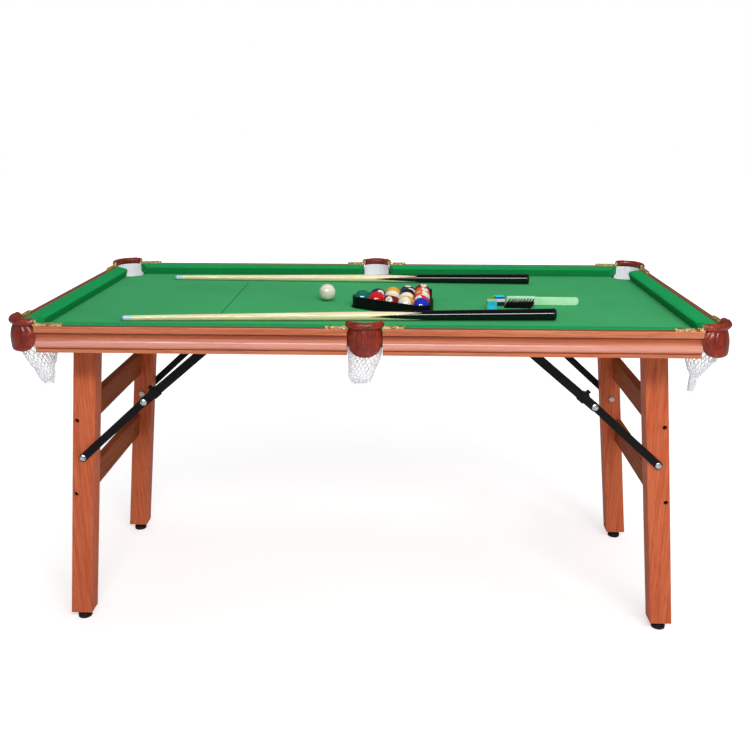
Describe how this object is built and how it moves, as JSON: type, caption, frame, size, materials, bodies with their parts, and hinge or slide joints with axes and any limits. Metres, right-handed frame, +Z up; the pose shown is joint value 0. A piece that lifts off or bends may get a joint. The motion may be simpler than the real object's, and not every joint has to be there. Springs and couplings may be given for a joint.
{
  "type": "mini pool table",
  "caption": "Folding mini pool table: green bed, moulded wood rails, netted pockets with leather collars, splayed legs that fold flat on jointed braces, with cues, racked balls and chalk.",
  "frame": {"origin": "on the floor under the middle of the table", "axes": "+X along the table's length to the right-hand end, -Y to the front, +Z up"},
  "size_m": [1.413, 0.751, 0.7481],
  "materials": {
    "rail_wood": "satin cherry-coloured foil with an open grain",
    "leg_wood": "satin reddish wood grain",
    "board": "raw medium-density fibreboard",
    "felt": "brushed green billiard cloth",
    "leather": "dark red-brown grained leather",
    "net_string": "white knotted string",
    "brass": "polished brass plate",
    "black_steel": "black powder coat",
    "zinc_steel": "bright zinc plate",
    "foot_plastic": "black moulded plastic",
    "cue_wood": "lacquered pale shaft, black butt",
    "ball_resin": "polished resin",
    "rack_plastic": "black moulded plastic",
    "chalk": "pressed blue chalk with a paper band",
    "brush_plastic": "mint-green moulded plastic, black bristles"
  },
  "bodies": {
    "table_top": {"bed_board": "board", "bed_cloth": "felt", "bed_battens": "board", "rail_front_left": "rail_wood", "rail_front_right": "rail_wood", "rail_rear_left": "rail_wood", "rail_rear_right": "rail_wood", "rail_end_left": "rail_wood", "rail_end_right": "rail_wood", "cushion_front_left": "felt", "cushion_front_right": "felt", "cushion_rear_left": "felt", "cushion_rear_right": "felt", "cushion_end_left": "felt", "cushion_end_right": "felt", "rail_screws": "zinc_steel", "pocket_irons": "brass", "pocket_iron_screws": "zinc_steel", "pocket_leathers_corner": "leather", "pocket_leathers_middle": "leather", "pocket_nets_corner": "net_string", "pocket_nets_middle": "net_string", "leg_brackets": "black_steel", "leg_pivot_bolts": "zinc_steel", "brace_brackets": "black_steel", "brace_top_pins": "zinc_steel", "bracket_screws": "zinc_steel"},
    "leg_frame_left": {"leg_front_left": "leg_wood", "leg_rear_left": "leg_wood", "stretcher_upper_left": "leg_wood", "stretcher_lower_left": "leg_wood", "stretcher_bolts_left": "zinc_steel", "brace_leg_bolts_left": "zinc_steel"},
    "leg_frame_right": {"leg_front_right": "leg_wood", "leg_rear_right": "leg_wood", "stretcher_upper_right": "leg_wood", "stretcher_lower_right": "leg_wood", "stretcher_bolts_right": "zinc_steel", "brace_leg_bolts_right": "zinc_steel"},
    "lower_links_left": {"brace_lower_links_left": "black_steel"},
    "upper_links_left": {"brace_upper_links_left": "black_steel", "knuckle_pins_left": "zinc_steel"},
    "brace_catches_left": {"brace_catches_left": "black_steel"},
    "foot_front_left": {"foot_front_left": "foot_plastic"},
    "foot_rear_left": {"foot_rear_left": "foot_plastic"},
    "lower_links_right": {"brace_lower_links_right": "black_steel"},
    "upper_links_right": {"brace_upper_links_right": "black_steel", "knuckle_pins_right": "zinc_steel"},
    "brace_catches_right": {"brace_catches_right": "black_steel"},
    "foot_front_right": {"foot_front_right": "foot_plastic"},
    "foot_rear_right": {"foot_rear_right": "foot_plastic"},
    "cue_front": {"cue_front": "cue_wood"},
    "cue_rear": {"cue_rear": "cue_wood"},
    "cue_ball": {"cue_ball": "ball_resin"},
    "object_balls": {"object_balls": "ball_resin"},
    "rack": {"rack": "rack_plastic"},
    "chalk_cubes": {"chalk_cubes": "chalk"},
    "brush": {"brush": "brush_plastic"}
  },
  "joints": [
    {"name": "leg_fold_left", "type": "hinge", "parent": "table_top", "child": "leg_frame_left", "pos_m": [-0.593, 0, 0.664], "axis": [0, -1, 0], "range_deg": [0, 96.4]},
    {"name": "leg_fold_right", "type": "hinge", "parent": "table_top", "child": "leg_frame_right", "pos_m": [0.593, 0, 0.664], "axis": [0, 1, 0], "range_deg": [0, 90.4]},
    {"name": "upper_link_turn_left", "type": "hinge", "parent": "table_top", "child": "upper_links_left", "pos_m": [-0.33, 0, 0.664], "axis": [0, -1, 0], "range_deg": [0, 140.16]},
    {"name": "lower_link_turn_left", "type": "hinge", "parent": "leg_frame_left", "child": "lower_links_left", "pos_m": [-0.62171, 0, 0.40801], "axis": [0, -1, 0], "range_deg": [-139.08, 0]},
    {"name": "upper_link_turn_right", "type": "hinge", "parent": "table_top", "child": "upper_links_right", "pos_m": [0.33, 0, 0.664], "axis": [0, 1, 0], "range_deg": [0, 133.13]},
    {"name": "lower_link_turn_right", "type": "hinge", "parent": "leg_frame_right", "child": "lower_links_right", "pos_m": [0.62171, 0, 0.40801], "axis": [0, 1, 0], "range_deg": [-132.06, 0]},
    {"name": "catch_slide_left", "type": "slide", "parent": "upper_links_left", "child": "brace_catches_left", "axis": [0.7623, 0, 0.6473], "range_m": [0, 0.04]},
    {"name": "foot_turn_front_left", "type": "hinge", "parent": "leg_frame_left", "child": "foot_front_left", "pos_m": [-0.66535, -0.22, 0], "axis": [0, 0, 1], "continuous": true},
    {"name": "foot_turn_rear_left", "type": "hinge", "parent": "leg_frame_left", "child": "foot_rear_left", "pos_m": [-0.66535, 0.22, 0], "axis": [0, 0, 1], "continuous": true},
    {"name": "catch_slide_right", "type": "slide", "parent": "upper_links_right", "child": "brace_catches_right", "axis": [-0.7623, 0, 0.6473], "range_m": [0, 0.04]},
    {"name": "foot_turn_front_right", "type": "hinge", "parent": "leg_frame_right", "child": "foot_front_right", "pos_m": [0.66535, -0.22, 0], "axis": [0, 0, 1], "continuous": true},
    {"name": "foot_turn_rear_right", "type": "hinge", "parent": "leg_frame_right", "child": "foot_rear_right", "pos_m": [0.66535, 0.22, 0], "axis": [0, 0, 1], "continuous": true},
    {"name": "lift_cue_front", "type": "slide", "parent": "table_top", "child": "cue_front", "axis": [0, 0, 1], "range_m": [0, 0.2]},
    {"name": "lift_cue_rear", "type": "slide", "parent": "table_top", "child": "cue_rear", "axis": [0, 0, 1], "range_m": [0, 0.2]},
    {"name": "lift_cue_ball", "type": "slide", "parent": "table_top", "child": "cue_ball", "axis": [0, 0, 1], "range_m": [0, 0.2]},
    {"name": "lift_rack", "type": "slide", "parent": "table_top", "child": "rack", "axis": [0, 0, 1], "range_m": [0, 0.1]},
    {"name": "lift_object_balls", "type": "slide", "parent": "table_top", "child": "object_balls", "axis": [0, 0, 1], "range_m": [0, 0.2]},
    {"name": "lift_chalk_cubes", "type": "slide", "parent": "table_top", "child": "chalk_cubes", "axis": [0, 0, 1], "range_m": [0, 0.2]},
    {"name": "lift_brush", "type": "slide", "parent": "table_top", "child": "brush", "axis": [0, 0, 1], "range_m": [0, 0.2]}
  ],
  "couplings": [
    {"joint": "upper_link_turn_left", "follows": "leg_fold_left", "ratio": 1.4488},
    {"joint": "lower_link_turn_left", "follows": "leg_fold_left", "ratio": -1.4375},
    {"joint": "upper_link_turn_right", "follows": "leg_fold_right", "ratio": 1.4671},
    {"joint": "lower_link_turn_right", "follows": "leg_fold_right", "ratio": -1.4553}
  ]
}
